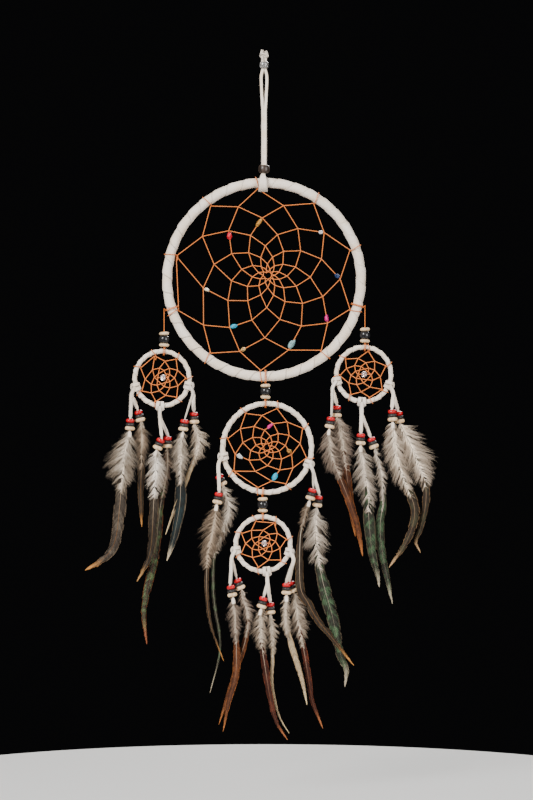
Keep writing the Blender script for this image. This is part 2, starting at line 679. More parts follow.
def grow(name, lines, tree, values):
    """Runs a Geometry Nodes tree over the lines and returns the result as a plain mesh."""
    carrier = added(name + "_lines", lines.mesh(name + "_lines"))
    modifier = carrier.modifiers.new("Grow", "NODES")
    modifier.node_group = tree
    for socket in tree.interface.items_tree:
        if socket.in_out == "INPUT" and socket.name in values:
            modifier[socket.identifier] = values[socket.name]
    graph = bpy.context.evaluated_depsgraph_get()
    graph.update()
    mesh = bpy.data.meshes.new_from_object(carrier.evaluated_get(graph), depsgraph=graph)
    path = carrier.data
    bpy.data.objects.remove(carrier)
    bpy.data.meshes.remove(path)
    if not mesh.polygons:
        raise RuntimeError(f"{name} came out empty")
    mesh.shade_smooth()
    return mesh


def piece(name, meshes, body, nodes=()):
    """One object of the meshes, riding on its body and standing for its CAD nodes."""
    made = added(name, meshes[0])
    if len(meshes) > 1:
        together = [made] + [added(f"{name}_{i}", mesh) for i, mesh in enumerate(meshes[1:])]
        with bpy.context.temp_override(active_object=made, object=made, selected_objects=together,
                                       selected_editable_objects=together):
            bpy.ops.object.join()
    made.data.name = name
    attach(made, body)
    if nodes:
        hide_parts(*nodes)
    return made


def lathe(outline, segments, material, lumps=0.0, seed=0, twist=0.0):
    """A solid of revolution about Z from a closed outline of (radius, height), a little uneven."""
    shape = bmesh.new()
    rings = []
    for k in range(segments):
        ring = []
        for j, (radius, height) in enumerate(outline):
            angle = math.tau * (k + twist * (j % 2)) / segments
            co = Vector((radius * math.cos(angle), radius * math.sin(angle), height))
            push = noise.noise(co * 420 + Vector((seed * 7.3, 0, 0))) * lumps
            ring.append(shape.verts.new(co * (1 + push)))
        rings.append(ring)
    count = len(outline)
    for k in range(segments):
        for j in range(count):
            a, b = rings[k], rings[(k + 1) % segments]
            quad = (a[j], b[j], b[(j + 1) % count], a[(j + 1) % count])
            if twist:
                shape.faces.new((quad[0], quad[1], quad[2]))
                shape.faces.new((quad[0], quad[2], quad[3]))
            else:
                shape.faces.new(quad)
    bmesh.ops.recalc_face_normals(shape, faces=shape.faces)
    mesh = as_mesh(shape, "turned", material)
    if not twist:
        mesh.shade_smooth()
    return mesh


def bead_outline(diameter, height, bore, roundness=0.8):
    """A bead's closed section in millimetres: a bulging side, soft rims and a straight bore."""
    outer, inner, half = diameter / 2, bore / 2, height / 2
    section = []
    for k in range(13):
        angle = math.pi * (k / 12 - 0.5)
        bulge = math.cos(angle)
        reach = inner + 0.35 + (outer - inner - 0.35) * bulge ** (1 - 0.55 * roundness)
        section.append((reach * MM, half * math.sin(angle) * MM))
    section += [(inner * MM, half * 0.86 * MM), (inner * MM, 0.0), (inner * MM, -half * 0.86 * MM)]
    return section


def bead(diameter, height, bore, material, at, lean=0.0, lumps=0.02, seed=0, roundness=0.8):
    mesh = lathe(bead_outline(diameter, height, bore, roundness), 28, material, lumps, seed)
    spin = Matrix.Rotation(seed * 1.7, 4, "Z")
    mesh.transform(Matrix.Translation(at) @ Matrix.Rotation(lean, 4, "Y") @ spin)
    return mesh


class Hoop:
    """Where a hoop's tube lies, from its wrap in the frame."""

    def __init__(self, name):
        low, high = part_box(name + "_wrap")
        self.name = name
        self.centre = (low + high) / 2
        self.tube = (high.y - low.y) / 2
        self.ring = (high.x - low.x) / 2 - self.tube

    @staticmethod
    def out(angle):
        return Vector((math.cos(math.radians(angle)), 0, math.sin(math.radians(angle))))

    def on_ring(self, angle):
        return self.centre + self.ring * self.out(angle)

    def round_tube(self, angle, phase, radius):
        """A point round the tube at an angle of the hoop: phase 0 is outward and 90 in front."""
        turn = math.radians(phase)
        return self.on_ring(angle) + radius * (math.cos(turn) * self.out(angle) + math.sin(turn) * FRONT)


class Net:
    """The knots of a woven net in order, each hitched to the middle of a thread of the round before."""

    def __init__(self, hoop, thread):
        angles, off, rounds, pull, step = NETS[hoop.name]
        self.angles = angles
        self.loops = len(angles)
        self.middle = hoop.centre + mm(off[0], 0, off[1])
        rim = hoop.ring - hoop.tube - thread / 2 - 0.05 * MM
        self.knots = [hoop.centre + rim * Hoop.out(a) for a in angles]
        self.knots.append(self.knots[0].copy())
        while len(self.knots) < self.loops * rounds:
            n = len(self.knots)
            inward = pull - step * (n // self.loops - 1)
            before = (self.knots[n - self.loops] + self.knots[n - self.loops + 1]) / 2
            self.knots.append(self.middle + inward * (before - self.middle))
        last_round = self.knots[-self.loops:]
        self.heart = sum(last_round, Vector()) / self.loops

    def threads(self):
        """Straight runs of thread between knots, each drawn into a V by the knot hitched on it."""
        runs = []
        for i in range(len(self.knots) - 1):
            hitched = i + self.loops
            ends = [self.knots[i], self.knots[i + 1]]
            if self.loops < hitched < len(self.knots):
                ends.insert(1, self.knots[hitched])
            runs.append(ends)
        return runs


# ---------------------------------------------------------------------------
# Finishes
# ---------------------------------------------------------------------------

def suede_look(name, colour):
    g = LookGraph(name)
    edge = g.attribute("edge")
    blotch = g.grain(90, 4.0)
    nap = g.grain(1400, 3.0)
    worn = g.span(edge + (nap - 0.5) * 0.35, 0.84, 1.04)
    dull = tuple(c * 0.42 for c in colour)
    warm = tuple(c * f for c, f in zip(colour, (0.93, 0.87, 0.78)))
    body = g.mix(g.span(blotch, 0.35, 0.7), colour, warm)
    body = g.mix(worn * 0.8, body, dull)
    return g.finish({"Base Color": g.scaled(body, 0.86 + nap * 0.24), "Roughness": 0.92,
                     "Specular IOR Level": 0.25, "Sheen Weight": 0.35, "Sheen Roughness": 0.5},
                    bump=nap + g.grain(500, 2.0), bump_depth=0.00025, bump_strength=0.7)


def thread_look(name, colour):
    g = LookGraph(name)
    groove = g.span(g.attribute("lobe"), -0.5, 0.6)
    patchy = g.grain(140, 3.0)
    deep = tuple(c * 0.55 for c in colour)
    body = g.mix(groove, deep, colour)
    return g.finish({"Base Color": g.scaled(body, 0.8 + patchy * 0.4), "Roughness": 0.55 + 0.2 * patchy,
                     "Specular IOR Level": 0.2},
                    bump=g.grain(2600, 2.0), bump_depth=0.0001, bump_strength=0.5)


def cane_look():
    g = LookGraph("Rattan cane")
    fibres = g.grain(900, 3.0)
    body = g.mix(fibres, (0.30, 0.17, 0.075), (0.46, 0.30, 0.15))
    return g.finish({"Base Color": body, "Roughness": 0.55}, bump=fibres, bump_depth=0.0002)


def wood_look(name, light, dark, gloss):
    g = LookGraph(name)
    streaks = g.grain(420, 4.0, stretch=(1, 1, 0.16), distortion=0.6)
    pores = g.grain(1800, 2.0, stretch=(1, 1, 0.3))
    body = g.mix(g.span(streaks, 0.38, 0.66), light, dark)
    return g.finish({"Base Color": g.scaled(body, 0.82 + pores * 0.36), "Roughness": 0.62 - 0.25 * gloss,
                     "Coat Weight": gloss * 0.18, "Coat Roughness": 0.2, "Specular IOR Level": 0.25},
                    bump=streaks + pores, bump_depth=0.00018, bump_strength=0.6)


def lacquer_look(name, colour, worn, rough, coat):
    g = LookGraph(name)
    spots = g.grain(520, 4.0)
    scuffs = g.span(g.grain(900, 3.0), 0.6, 0.75)
    body = g.mix(g.span(spots, 0.3, 0.75), colour, worn)
    return g.finish({"Base Color": body, "Roughness": rough + 0.25 * scuffs, "Coat Weight": coat,
                     "Coat Roughness": 0.1, "Specular IOR Level": 0.2},
                    bump=spots, bump_depth=0.00022, bump_strength=0.5)


def glass_look(name, colour, clearness, tint_rough):
    g = LookGraph(name)
    haze = g.grain(320, 3.0)
    pale = tuple(min(1.0, c * 1.06 + 0.02) for c in colour)
    return g.finish({"Base Color": g.mix(haze, colour, pale),
                     "Roughness": tint_rough + 0.06 * haze, "Transmission Weight": clearness, "IOR": 1.5,
                     "Coat Weight": 0.3, "Coat Roughness": 0.05})


def stone_look(name, light, dark, banded=False, glassy=0.0):
    g = LookGraph(name)
    if banded:
        veins = g.grain(700, 2.0, stretch=(0.25, 1, 1), distortion=1.2)
    else:
        veins = g.grain(560, 5.0, distortion=0.8)
    body = g.mix(g.span(veins, 0.36, 0.64), dark, light)
    return g.finish({"Base Color": body, "Roughness": 0.3 + 0.2 * veins, "Coat Weight": 0.12,
                     "Specular IOR Level": 0.3, "Coat Roughness": 0.08, "Transmission Weight": glassy,
                     "IOR": 1.54},
                    bump=veins, bump_depth=0.00015, bump_strength=0.5)


STONES = {
    "tiger_eye": ((0.62, 0.30, 0.05), (0.12, 0.04, 0.01), True, 0.0),
    "red_coral": ((0.78, 0.01, 0.03), (0.45, 0.01, 0.02), False, 0.0),
    "milky_quartz": ((0.88, 0.86, 0.84), (0.62, 0.60, 0.60), False, 0.35),
    "navy_lapis": ((0.02, 0.05, 0.15), (0.008, 0.012, 0.04), False, 0.0),
    "cream_shell": ((0.82, 0.74, 0.56), (0.60, 0.47, 0.27), False, 0.0),
    "turquoise": ((0.01, 0.42, 0.62), (0.005, 0.24, 0.38), False, 0.0),
    "ochre_jasper": ((0.66, 0.44, 0.16), (0.30, 0.16, 0.05), False, 0.0),
    "pale_aqua": ((0.42, 0.66, 0.66), (0.16, 0.36, 0.36), False, 0.35),
    "magenta_howlite": ((0.80, 0.01, 0.24), (0.45, 0.01, 0.16), False, 0.0),
    "grey_agate": ((0.70, 0.70, 0.68), (0.42, 0.43, 0.43), False, 0.1),
}

# Feather colourings: down near the quill and at its ends, vane by the shaft, vane at its edge,
# the tip, and the sheen with its strength
FEATHERS = {
    "ash": ((0.74, 0.65, 0.54), (0.33, 0.26, 0.19), (0.040, 0.029, 0.021), (0.20, 0.14, 0.09),
            (0.50, 0.21, 0.05), (0.13, 0.105, 0.075), 0.5),
    "puff": ((0.93, 0.86, 0.77), (0.55, 0.46, 0.37), (0.022, 0.015, 0.010), (0.13, 0.08, 0.045),
             (0.46, 0.24, 0.08), (0.08, 0.065, 0.045), 0.3),
    "umber": ((0.46, 0.35, 0.25), (0.17, 0.12, 0.08), (0.026, 0.017, 0.011), (0.17, 0.095, 0.04),
              (0.46, 0.20, 0.05), (0.08, 0.06, 0.035), 0.3),
    "rust_green": ((0.28, 0.20, 0.14), (0.14, 0.09, 0.06), (0.030, 0.022, 0.015), (0.20, 0.055, 0.018),
                   (0.24, 0.07, 0.03), (0.085, 0.125, 0.05), 0.85),
    "teal": ((0.72, 0.62, 0.51), (0.30, 0.24, 0.18), (0.010, 0.011, 0.010), (0.19, 0.14, 0.09),
             (0.55, 0.44, 0.29), (0.018, 0.034, 0.036), 0.6),
    "straw": ((0.70, 0.59, 0.47), (0.38, 0.30, 0.22), (0.36, 0.26, 0.15), (0.26, 0.17, 0.09),
              (0.70, 0.54, 0.30), (0.42, 0.33, 0.20), 0.3),
    "rust": ((0.52, 0.42, 0.33), (0.22, 0.16, 0.12), (0.050, 0.017, 0.008), (0.32, 0.10, 0.025),
             (0.38, 0.13, 0.035), (0.17, 0.055, 0.018), 0.5),
    "green": ((0.76, 0.66, 0.55), (0.32, 0.26, 0.20), (0.020, 0.020, 0.013), (0.13, 0.095, 0.06),
              (0.40, 0.33, 0.23), (0.060, 0.105, 0.050), 0.85),
    "bronze": ((0.92, 0.80, 0.66), (0.46, 0.36, 0.27), (0.026, 0.017, 0.011), (0.24, 0.14, 0.07),
               (0.48, 0.29, 0.14), (0.06, 0.06, 0.032), 0.5),
    "mahogany": ((0.62, 0.52, 0.41), (0.28, 0.21, 0.15), (0.034, 0.010, 0.006), (0.21, 0.048, 0.018),
                 (0.36, 0.12, 0.04), (0.11, 0.028, 0.015), 0.5),
}


def feather_look(name, down_near, down_far, vane_near, vane_far, tip, sheen, sheen_strength):
    g = LookGraph("Feather " + name)
    along = g.attribute("along")
    across = g.attribute("across")
    strand = g.attribute("strand")
    kind = g.attribute("kind")
    mottle = g.grain(210, 3.0)
    edge = g.span(across + (mottle - 0.5) * 0.3, 0.78, 1.0)
    vane = g.mix(edge, vane_near, vane_far)
    patch = g.grain(120, 2.0, distortion=0.4) + (strand - 0.5) * 0.16
    lustre = g.span(patch, 0.44, 0.66) * (1.0 - edge) * sheen_strength
    vane = g.mix(lustre, vane, sheen)
    vane = g.mix(g.span(along + edge * 0.06, 0.84, 1.0), vane, tip)
    down = g.mix(g.span(across, 0.05, 0.95), down_near, down_far)
    body = g.mix(g.function("MINIMUM", kind, 1.0), down, vane)
    horn = g.mix(g.span(along, 0.2, 0.7), (0.60, 0.50, 0.38), tuple(0.6 * c for c in tip))
    body = g.mix(g.span(kind, 1.2, 1.8), body, horn)
    shaded = g.scaled(body, 0.66 + 0.6 * strand)
    gloss = 0.78 - 0.36 * sheen_strength * g.function("MINIMUM", kind, 1.0)
    return g.finish({"Base Color": shaded, "Roughness": gloss, "Specular IOR Level": 0.14,
                     "Metallic": lustre * 0.3})


# ---------------------------------------------------------------------------
# Sizes and colours that a user may change
# ---------------------------------------------------------------------------

def length(label, text, default):
    return FloatProperty(name=label, description=text, default=default, min=0.0, precision=5, unit="LENGTH")


def colour(label, text, default):
    return FloatVectorProperty(name=label, description=text, default=default, size=3, min=0.0, max=1.0,
                               subtype="COLOR")


class DreamSuedeSettings(bpy.types.PropertyGroup):
    colour: colour("Suede colour", "Colour of the laces and of the wrap", (0.87, 0.765, 0.65))
    lace_width: length("Lace width", "Width of the flat suede laces", 0.0034)
    lace_thickness: length("Lace thickness", "Thickness of the suede laces", 0.0012)
    wrap_pitch: length("Wrap pitch", "Advance of the big hoop's wrap in each turn", 0.0155)
    wrap_thickness: length("Wrap thickness", "Thickness of the strip wound on the hoops", 0.0009)
    small_wrap_pitch: length("Small wrap pitch", "Advance of the other hoops' wrap in each turn", 0.0085)
    ragged: length("Ragged edge", "How far a cut edge strays from a straight line", 0.0003)


class DreamThreadSettings(bpy.types.PropertyGroup):
    colour: colour("Thread colour", "Colour of the waxed net thread", (0.92, 0.27, 0.065))
    diameter: length("Thread diameter", "Diameter of the net thread", 0.0009)
    link_diameter: length("Link thread diameter", "Diameter of the doubled thread in the links", 0.001)
    turn: length("Twist length", "Length in which the three plies make one turn", 0.0042)


class DreamFeatherSettings(bpy.types.PropertyGroup):
    barb_pitch: length("Barb pitch", "Distance between two barbs on one side of a vane", 0.00036)
    barb_width: length("Barb width", "Width of a vane's barb at its root", 0.00072)
    down_pitch: length("Down pitch", "Distance between two downy barbs", 0.000036)
    down_width: length("Down width", "Width of a downy barb at its root", 0.00036)
    shaft_radius: length("Shaft radius", "Radius of a feather's shaft at the quill", 0.00042)
    seed: IntProperty(name="Seed", description="Number that the feathers' unevenness starts from", default=3)


class DreamStageSettings(bpy.types.PropertyGroup):
    camera_distance: length("Camera distance", "Distance from the camera to the hoops' plane", 3.0)
    view_height: length("View height", "Height of the field of view at the hoops' plane", 0.781)
    floor_drop: length("Floor drop", "Distance from the lowest feather down to the floor", 0.055)
    floor_radius: length("Floor radius", "Radius of the round floor", 0.45)
    floor_colour: colour("Floor colour", "Colour of the plain floor", (0.62, 0.61, 0.59))
    air_colour: colour("Air colour", "Colour of the even light all round", (0.003, 0.003, 0.0033))


# ---------------------------------------------------------------------------
# The tassels' measures
# ---------------------------------------------------------------------------

class Strand:
    """One hanging strand of a tassel: its beads' places and its feather's route."""

    def __init__(self, tassel, s):
        name, hoop_name, angle = tassel[:3]
        hoop = Hoop(hoop_name)
        dx, drop, lean = tassel[3 + s]
        self.name = f"{name}_{'front' if s == 0 else 'back'}"
        self.tassel = name
        self.side = -1 if s == 0 else 1
        self.index = 2 * TASSELS.index(tassel) + s
        tie = hoop.on_ring(angle)
        self.red = tie + mm(dx, self.side * STRAND_Y, -drop)
        self.down = Vector((lean, 0, -LEAN_DROP)).normalized()
        self.last = self.red + STACK_H * MM * self.down
        self.lean = math.atan2(-lean, LEAN_DROP)
        reach = hoop.tube + (LACE_D / 2 + 0.5) * MM
        self.start = tie + mm(0, self.side * (hoop.tube / MM + 1.5), 0.5) + 0.3 * hoop.tube * Hoop.out(angle)
        self.off = tie + reach * Hoop.out(angle) + mm(0, self.side * (STRAND_Y + 0.3), -6)
        self.feather = tassel[5 + s]

    def lace_route(self):
        head = self.red - (RED_H / 2 + 1) * MM * self.down
        tail = self.last + 8.6 * MM * self.down + mm(0, self.side * 3.8, 0)
        points = [self.start, self.off, self.off.lerp(head, 0.5), head, self.red, self.last,
                  self.last + 3.4 * MM * self.down + mm(0, self.side * 1.8, 0), tail]
        return smooth(points, 7)

    def feather_route(self):
        quill = self.last + (NATURAL_H / 2 + 0.2) * MM * self.down
        quill.y = self.side * QUILL_Y * MM
        points = [quill] + [self.last + mm(x, 0, -z) for x, z in self.feather[4]]
        for p in points[1:]:
            p.y = self.side * FEATHER_Y * MM
        return smooth(points, 8)


    def hang(self, kind, meshes, slot, part):
        """A piece on this strand, which stands for a part of its tassel in the frame."""
        return piece(f"{self.name}_{kind}", meshes, self.tassel + "_tassel", [f"{self.tassel}_{part}"])


def strands():
    return [Strand(tassel, s) for tassel in TASSELS for s in (0, 1)]


def suede_cut(s, look, width=1.0, thickness=1.0):
    """The strip of the settings' lace, with factors on its width and its thickness."""
    return {"Width": s.lace_width * width, "Thickness": s.lace_thickness * thickness, "Ragged": s.ragged,
            "Material": look}


def turned_facings(points, turn_at):
    """Facings square to the line, turned from the front by turn_at(share) degrees."""
    made = []
    count = len(points) - 1
    for i, point in enumerate(points):
        tangent = (points[min(i + 1, count)] - points[max(i - 1, 0)]).normalized()
        flat = (FRONT - FRONT.dot(tangent) * tangent).normalized()
        made.append(Matrix.Rotation(math.radians(turn_at(i / count)), 3, tangent) @ flat)
    return made


# ---------------------------------------------------------------------------
# Operators, one for each kind of piece
# ---------------------------------------------------------------------------

class DREAM_OT_stage(bpy.types.Operator):
    """Adds the camera, the lights, the even surrounding light and the floor"""

    bl_idname = "dream.stage"
    bl_label = "Stage"

    def execute(self, context):
        s = context.scene.dream_stage
        aim = mm(2.4, 0, -321)
        lens = bpy.data.cameras.new("camera")
        lens.sensor_width = 36
        lens.lens = lens.sensor_width * s.camera_distance / s.view_height
        camera = added("camera", lens)
        camera.location = aim + s.camera_distance * FRONT
        camera.rotation_euler = (math.pi / 2, 0, 0)
        context.scene.camera = camera

        for name, place, size, watts in (
                ("key_light", (-1.5, -2.1, 0.9), 1.2, 150),
                ("fill_light", (1.9, -1.8, 0.1), 1.6, 74),
                ("back_light", (0.6, 2.2, 1.2), 1.4, 90)):
            lamp = bpy.data.lights.new(name, "AREA")
            lamp.size = size
            lamp.energy = watts
            holder = added(name, lamp)
            holder.location = Vector(place)
            holder.rotation_euler = (aim - holder.location).to_track_quat("-Z", "Y").to_euler()
            holder.visible_camera = False

        world = bpy.data.worlds.new("air")
        world.use_nodes = True
        air = world.node_tree.nodes["Background"].inputs
        air["Color"].default_value = rgba(s.air_colour)
        air["Strength"].default_value = 1.0
        context.scene.world = world

        shape = bmesh.new()
        bmesh.ops.create_circle(shape, cap_ends=True, segments=96, radius=s.floor_radius)
        look = LookGraph("Plain floor").finish({"Base Color": rgba(s.floor_colour), "Roughness": 0.8})
        mesh = as_mesh(shape, "floor", look)
        mesh.transform(Matrix.Translation((0, 0, CAD_BOX[0].z - s.floor_drop)))
        floor = added("floor", mesh)
        return {"FINISHED"}


class DREAM_OT_laces(bpy.types.Operator):
    """Hangs the tassels' flat suede laces, two to a tassel"""

    bl_idname = "dream.laces"
    bl_label = "Tassel laces"

    def execute(self, context):
        s = context.scene.dream_suede
        look = suede_look("Tassel suede", s.colour)
        tree = strip_tree()
        for strand in strands():
            random.seed(100 + strand.index)
            route = strand.lace_route()
            first = random.uniform(-35, 35)
            turn = random.uniform(-70, 70)
            facings = turned_facings(route, lambda t: first + turn * math.sin(t * math.pi))
            lowest = strand.last.z - NATURAL_H * MM
            swells = [0.62 if strand.red.z + RED_H * MM > p.z > lowest else 1.0 for p in route]
            lines = Lines().add(route, facings, swells)
            mesh = grow(strand.name, lines, tree, suede_cut(s, look, random.uniform(0.86, 1.06)))
            lace = strand.hang("lace", [mesh], "suede_lace", "lace")
            run_length(route)
        return {"FINISHED"}


class DREAM_OT_hanger(bpy.types.Operator):
    """Hangs the doubled lace with its knot, its two beads and its strap round the big hoop"""

    bl_idname = "dream.hanger"
    bl_label = "Hanger"

    def execute(self, context):
        s = context.scene.dream_suede
        look = suede_look("Hanger suede", s.colour)
        tree = strip_tree()
        cut = suede_cut(s, look, 0.78, 1.3)
        for name, side in (("left", 1), ("right", -1)):
            route = smooth([mm(side * x, 0, z) for x, z in HANGER_ROUTE], 5)
            facings = turned_facings(route, lambda t: side * (22 - 60 * t))
            lace = piece(f"hanger_{name}_lace", [grow(name, Lines().add(route, facings), tree, cut)],
                         "hanger", ["hanging_lace"])
            run_length(route)
        piece("hanger_knot", [self.knot(tree, cut)], "hanger")
        piece("hanger_strap", [self.strap(tree, cut)], "hanger")
        self.beads()
        return {"FINISHED"}

    def knot(self, tree, cut):
        """An overhand knot with two short ragged ends."""
        middle = mm(0, 0, KNOT_Z)
        turns = []
        for k in range(60):
            t = math.tau * k / 60
            turns.append(middle + mm(1.25 * (math.sin(t) + 2 * math.sin(2 * t)), -1.6 * math.sin(3 * t),
                                     1.25 * (math.cos(t) - 2 * math.cos(2 * t))))
        lines = Lines().add(turns, [(p - middle).normalized() for p in turns], closed=True)
        for side, height in ((-1, 20.8), (1, 19.6)):
            end = smooth([mm(side * 0.8, 0.4, KNOT_Z - 1), mm(side * 2.0, -0.6, KNOT_Z + 3),
                          mm(side * 1.5, -1.0, height)], 8)
            lines.add(end, turned_facings(end, lambda t: side * (15 + 55 * t)),
                      [1.35 - 0.3 * k / (len(end) - 1) for k in range(len(end))])
        return grow("knot", lines, tree, cut)

    def strap(self, tree, cut):
        """The lace spread out round the top of the big hoop."""
        hoop = Hoop("big_hoop")
        reach = hoop.tube + 1.0 * MM
        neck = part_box("hanger_wood_bead")[0].z + 0.3 * MM
        points = [mm(-0.6, -1.2, 0) + neck * UP]
        facings = [FRONT]
        swells = [1.0]
        for phase in range(40, 325, 15):
            turn = math.radians(phase)
            outward = math.cos(turn) * UP + math.sin(turn) * FRONT
            lift = (abs(phase - 182) / 142) ** 3
            points.append(hoop.on_ring(90) + (reach + lift * 0.8 * MM) * outward + mm(-1.0, 0, 0))
            facings.append(outward)
            swells.append(3.3 - 1.3 * lift)
        points.append(mm(-0.6, 1.2, 0) + neck * UP)
        facings.append(-FRONT)
        swells.append(1.0)
        return grow("strap", Lines().add(points, facings, swells), tree, cut)

    def beads(self):
        glass = glass_look("Smoky glass", (0.36, 0.35, 0.34), 0.6, 0.06)
        wood = wood_look("Dark wood", (0.060, 0.042, 0.032), (0.018, 0.012, 0.009), 1.0)
        for node, look, roundness, slot in (("hanger_glass_bead", glass, 0.95, "glass_bead"),
                                            ("hanger_wood_bead", wood, 0.9, "dark_wood_bead")):
            low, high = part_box(node)
            size = (high - low) / MM
            mesh = bead(size.x, size.z, 5.0, look, (low + high) / 2, roundness=roundness)
            piece(node + "_turned", [mesh], "hanger", [node])


class DREAM_OT_wraps(bpy.types.Operator):
    """Winds the suede strip round each hoop, every turn lapped over the one before"""

    bl_idname = "dream.wraps"
    bl_label = "Hoop wraps"

    def execute(self, context):
        s = context.scene.dream_suede
        look = suede_look("Wrap suede", s.colour)
        cane = cane_look()
        tree = wrap_tree()
        for number, name in enumerate(HOOPS):
            hoop = Hoop(name)
            pitch = s.wrap_pitch if number == 0 else s.small_wrap_pitch
            mesh = grow(name, Lines().add([hoop.centre, hoop.centre + UP]), tree, {
                "Centre": hoop.centre, "Ring Radius": hoop.ring, "Tube Radius": hoop.tube,
                "Turns": round(math.tau * hoop.ring / pitch), "Thickness": s.wrap_thickness,
                "Ragged": s.ragged, "Start": 1.3 * number, "Material": look})
            piece(name + "_suede", [mesh], name, [name + "_wrap"])
            core = frame["nodes"][name + "_ring"]
            core.data.materials.clear()
            core.data.materials.append(cane)
        return {"FINISHED"}


class DREAM_OT_ties(bpy.types.Operator):
    """Ties each tassel's lace over its hoop with a lark's head"""

    bl_idname = "dream.ties"
    bl_label = "Tassel ties"

    def execute(self, context):
        s = context.scene.dream_suede
        look = suede_look("Tie suede", s.colour)
        tree = strip_tree()
        cut = suede_cut(s, look)
        for name, hoop_name, angle, *_ in TASSELS:
            hoop = Hoop(hoop_name)
            spread = math.degrees(s.lace_width * 0.56 / hoop.ring)
            lines = Lines()
            for side in (-1, 1):
                band = [hoop.round_tube(angle + side * spread * (1 + 0.25 * math.sin(math.radians(p))), p,
                                        hoop.tube + 0.75 * MM) for p in range(0, 360, 15)]
                outs = [(p - hoop.on_ring(angle + side * spread)).normalized() for p in band]
                lines.add(band, outs, closed=True)
            over = [hoop.round_tube(angle + spread * k / 3.2, 18 + 3 * abs(k),
                                    hoop.tube + (1.9 - 0.03 * k * k) * MM) for k in range(-6, 7)]
            lines.add(over, [(p - hoop.on_ring(angle)).normalized() for p in over],
                      [1.15 - 0.06 * abs(k) for k in range(-6, 7)])
            piece(name + "_tie", [grow(name, lines, tree, cut)], hoop_name)
        return {"FINISHED"}


class DREAM_OT_nets(bpy.types.Operator):
    """Weaves the nets, with a loop over the hoop at each end and a hitch at each knot"""

    bl_idname = "dream.nets"
    bl_label = "Nets"

    def execute(self, context):
        s = context.scene.dream_thread
        look = thread_look("Waxed thread", s.colour)
        thread = thread_tree()
        hitch = hitch_tree()
        for name in HOOPS:
            hoop = Hoop(name)
            net = Net(hoop, s.diameter)
            reach = hoop.tube + s.diameter * 0.42
            slant = math.degrees(1.2 * MM / hoop.ring)
            lines = Lines()
            for run in net.threads():
                lines.add(run)
            for angle in net.angles:
                loop = [hoop.round_tube(angle + slant * math.cos(math.radians(p)), p, reach)
                        for p in range(0, 360, 12)]
                lines.add(loop, closed=True)
            if name not in ("big_hoop", "middle_hoop"):
                lines.add([net.heart - mm(6, 0, 0), net.heart + mm(6, 0, 0)])
            end = net.knots[0]
            lines.add(smooth([end, end + mm(1.6, -1.0, -0.6), end + mm(0.9, -1.2, -4.2)], 4))
            knots = Lines()
            for knot in net.knots:
                knots.add([knot], [(net.middle - knot).normalized()])
            meshes = [
                grow(name, lines, thread, {"Diameter": s.diameter, "Turn Length": s.turn,
                                           "Step": s.diameter * 1.1, "Material": look}),
                grow(name, knots, hitch, {"Diameter": s.diameter, "Material": look}),
            ]
            piece(name + "_thread", meshes, name, [name + "_net"])
        return {"FINISHED"}


class DREAM_OT_stones(bpy.types.Operator):
    """Threads the rough gem chips on the two larger nets"""

    bl_idname = "dream.stones"
    bl_label = "Gem chips"

    def execute(self, context):
        diameter = context.scene.dream_thread.diameter
        looks = {name: stone_look(name, *facts) for name, facts in STONES.items()}
        nets = {name: Net(Hoop(name), diameter) for name in ("big_hoop", "middle_hoop")}
        for number, (hoop, knot, long, wide, thick, stone) in enumerate(CHIPS):
            net = nets[hoop]
            start = net.knots[knot]
            run = (net.knots[knot + net.loops] - start).normalized()
            at = start + run * (long / 2 * MM + diameter)
            mesh = self.chip(long, wide, thick, looks[stone], number)
            turn = run.to_track_quat("X", "Y").to_matrix().to_4x4()
            mesh.transform(Matrix.Translation(at) @ turn)
            piece(f"{hoop}_{stone}_{knot}", [mesh], hoop, [hoop + "_stones"])
        return {"FINISHED"}

    @staticmethod
    def chip(long, wide, thick, look, seed):
        """A tumbled chip: a ball with random flats worn on it, drawn out to its size."""
        wear, unevenness = 0.94, 0.08
        random.seed(500 + seed)
        flats = []
        for _ in range(11):
            way = Vector((random.gauss(0, 1), random.gauss(0, 1), random.gauss(0, 1))).normalized()
            flats.append((way, random.uniform(0.62, 0.86)))
        shape = bmesh.new()
        bmesh.ops.create_icosphere(shape, subdivisions=4, radius=1.0)
        for vertex in shape.verts:
            for way, depth in flats:
                over = vertex.co.dot(way) - depth
                if over > 0:
                    vertex.co -= way * over * wear
            vertex.co *= 1.1 + unevenness * noise.noise(vertex.co * 2.3 + Vector((seed, 0, 0)))
            vertex.co = Vector((vertex.co.x * long, vertex.co.y * thick, vertex.co.z * wide)) * MM / 2
        mesh = as_mesh(shape, "chip", look)
        mesh.shade_smooth()
        return mesh


class DREAM_OT_crystals(bpy.types.Operator):
    """Sets a faceted crystal in the middle of each small net"""

    bl_idname = "dream.crystals"
    bl_label = "Crystals"

    def execute(self, context):
        look = glass_look("Clear crystal", (0.92, 0.80, 0.78), 0.8, 0.03)
        for name in ("left_hoop", "right_hoop", "bottom_hoop"):
            low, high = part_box(name + "_crystal")
            r = (high.x - low.x) / 2
            section = [(0.14 * r, 0.86 * r), (0.52 * r, 0.86 * r), (0.92 * r, 0.42 * r), (1.02 * r, 0.0),
                       (0.92 * r, -0.42 * r), (0.52 * r, -0.86 * r), (0.14 * r, -0.86 * r), (0.14 * r, 0.0)]
            mesh = lathe(section, 9, look, twist=0.5)
            mesh.transform(Matrix.Translation((low + high) / 2) @ Matrix.Rotation(math.pi / 2, 4, "Y"))
            piece(name + "_cut_crystal", [mesh], name, [name + "_crystal"])
        return {"FINISHED"}


